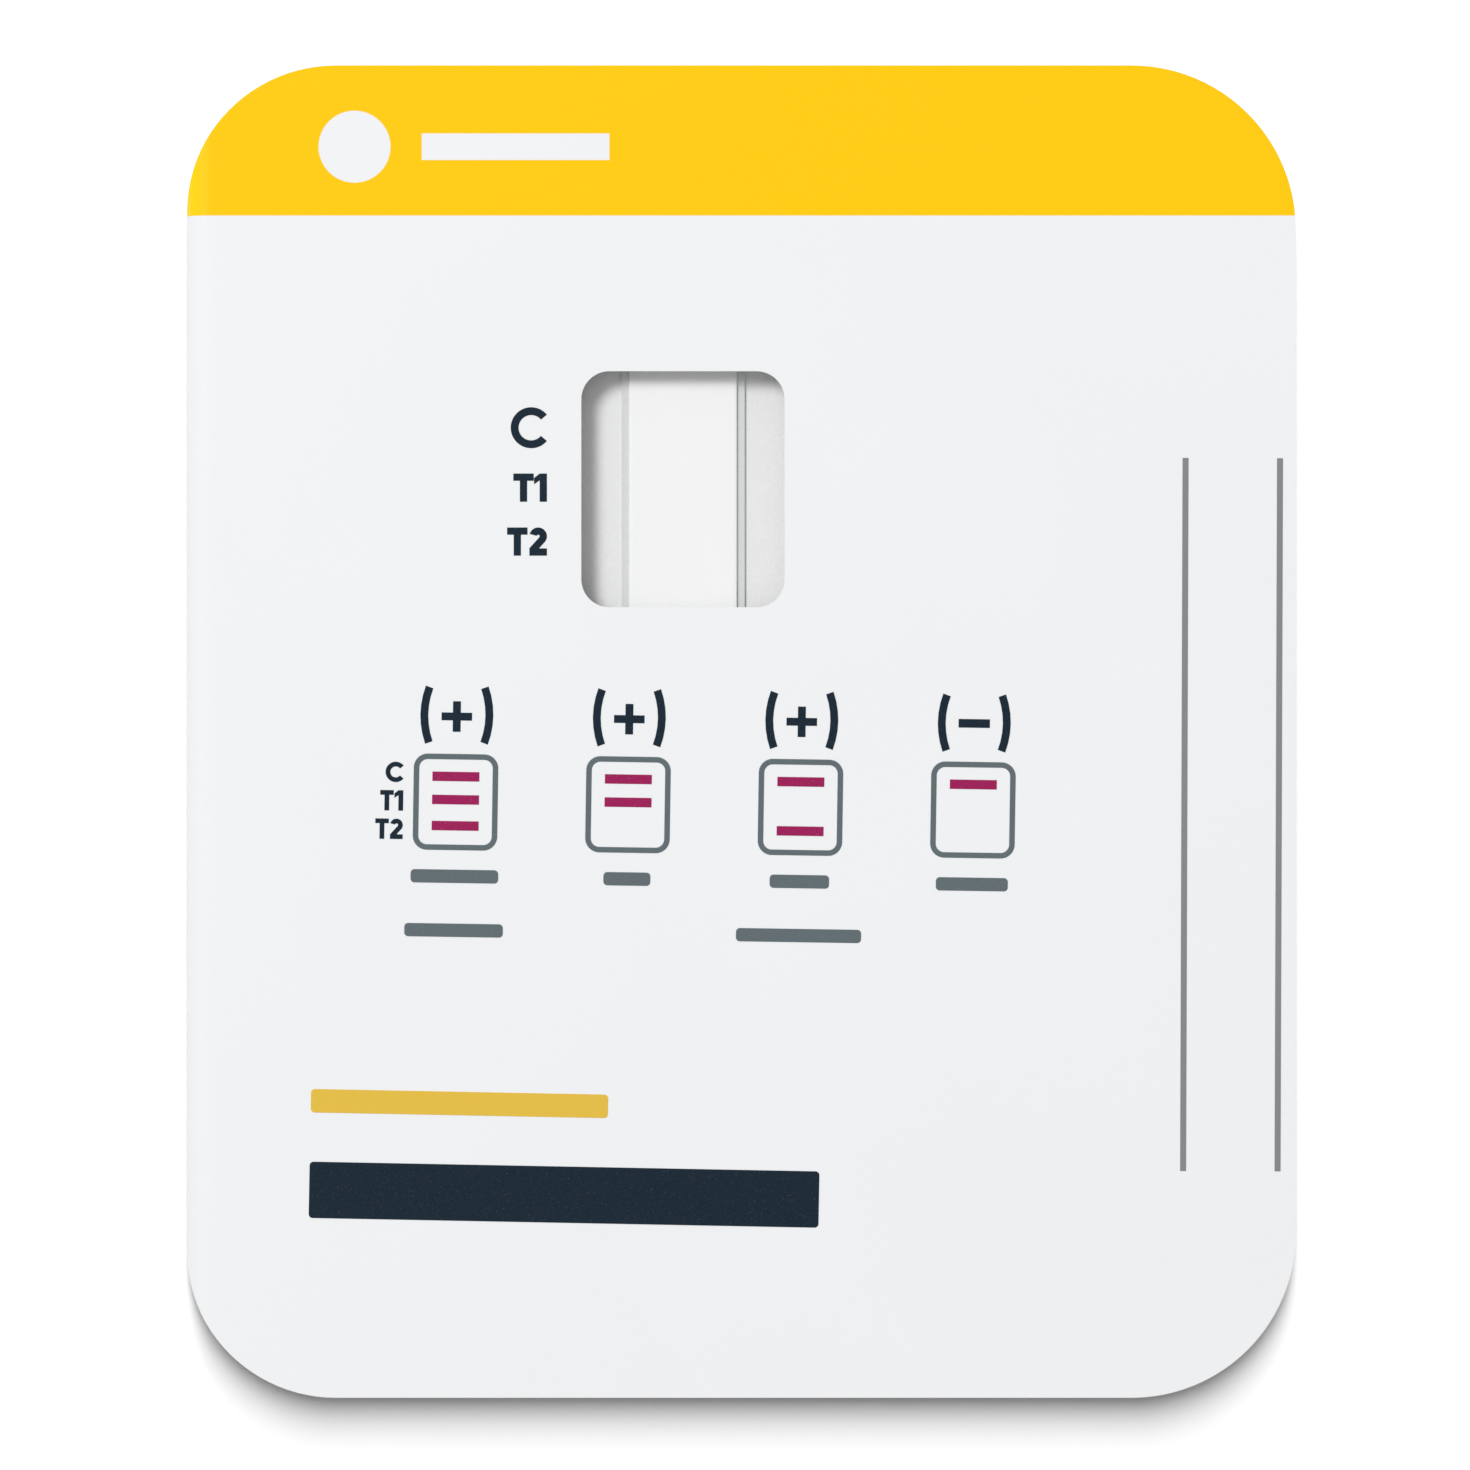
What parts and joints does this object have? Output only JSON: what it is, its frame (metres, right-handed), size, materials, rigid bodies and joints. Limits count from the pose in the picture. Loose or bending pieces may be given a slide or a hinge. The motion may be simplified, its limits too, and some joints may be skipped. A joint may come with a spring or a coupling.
{
  "type": "lateral flow test card",
  "caption": "Book-shaped paperboard test card with a reading window over a lateral flow strip, opened at two spine folds.",
  "frame": {"origin": "middle of the closed card, on the surface that its back cover lies on", "axes": "+Z out of the printed front, +Y towards the coloured header, spine at -X"},
  "size_m": [0.071, 0.0852, 0.0025],
  "materials": {
    "board": "coated white paperboard, satin",
    "backing_plastic": "white plastic card",
    "membrane": "matt porous membrane",
    "white_pad": "matt fibrous pad",
    "dyed_pad": "matt fibrous pad, dyed",
    "adhesive": "tacky pressure-sensitive adhesive",
    "liner": "glossy release paper",
    "header_ink": "printed, satin",
    "grey_ink": "printed, matt",
    "result_ink": "printed, matt",
    "name_ink": "printed, matt",
    "title_ink": "printed, matt",
    "line_ink": "printed, matt"
  },
  "bodies": {
    "base": {"back_cover": "board", "strip_backing": "backing_plastic", "membrane": "membrane", "absorbent_pad": "white_pad", "sample_pad": "dyed_pad", "reagent_pad": "white_pad", "adhesive_strip": "adhesive", "release_liner": "liner"},
    "spine": {"spine": "board"},
    "cover": {"front_cover": "board", "wash_pad": "white_pad", "clearing_pad": "white_pad", "header_print": "header_ink", "key_frames": "grey_ink", "result_bars": "result_ink", "caption_bars": "grey_ink", "name_bar": "name_ink", "title_bar": "title_ink", "writing_lines": "line_ink"}
  },
  "joints": [
    {"name": "spine_fold", "type": "hinge", "parent": "base", "child": "spine", "pos_m": [-0.0355, 0, 0], "axis": [0, -1, 0], "range_deg": [0, 90]},
    {"name": "cover_fold", "type": "hinge", "parent": "spine", "child": "cover", "pos_m": [-0.0355, 0, 0.0025], "axis": [0, -1, 0], "range_deg": [0, 90]}
  ]
}
